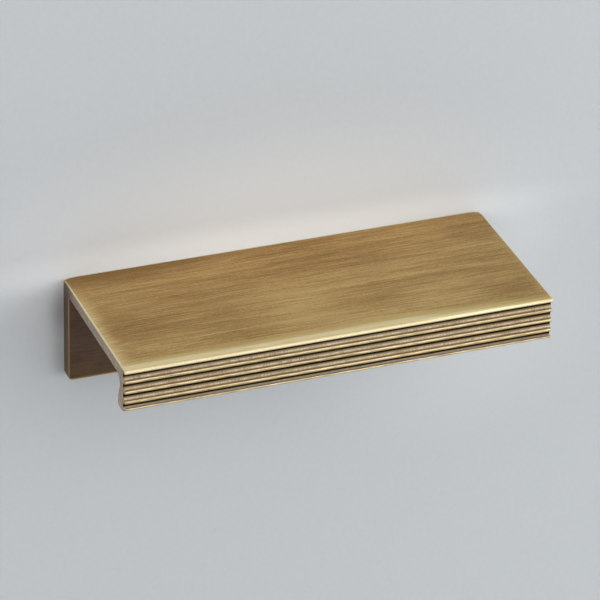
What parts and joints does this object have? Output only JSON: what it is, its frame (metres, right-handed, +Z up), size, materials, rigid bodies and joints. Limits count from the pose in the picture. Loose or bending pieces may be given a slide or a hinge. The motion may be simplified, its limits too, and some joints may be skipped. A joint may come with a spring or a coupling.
{
  "type": "tab pull",
  "caption": "Solid brass edge pull: an upright back plate fixed with countersunk screws, and a flat top plate that turns down into a grooved lip with a hollowed finger grip behind it.",
  "frame": {"origin": "midway between the two screw holes, on the back face of the back plate", "axes": "+X along the pull's length, -Y forward from the back face to the grooved lip, +Z up to the top plate"},
  "size_m": [0.1, 0.043, 0.0246],
  "materials": {
    "antique_brass": "aged brass, brushed along its length, darker in the grooves and worn bright on its edges"
  },
  "bodies": {
    "root": {"pull": "antique_brass"}
  },
  "joints": []
}
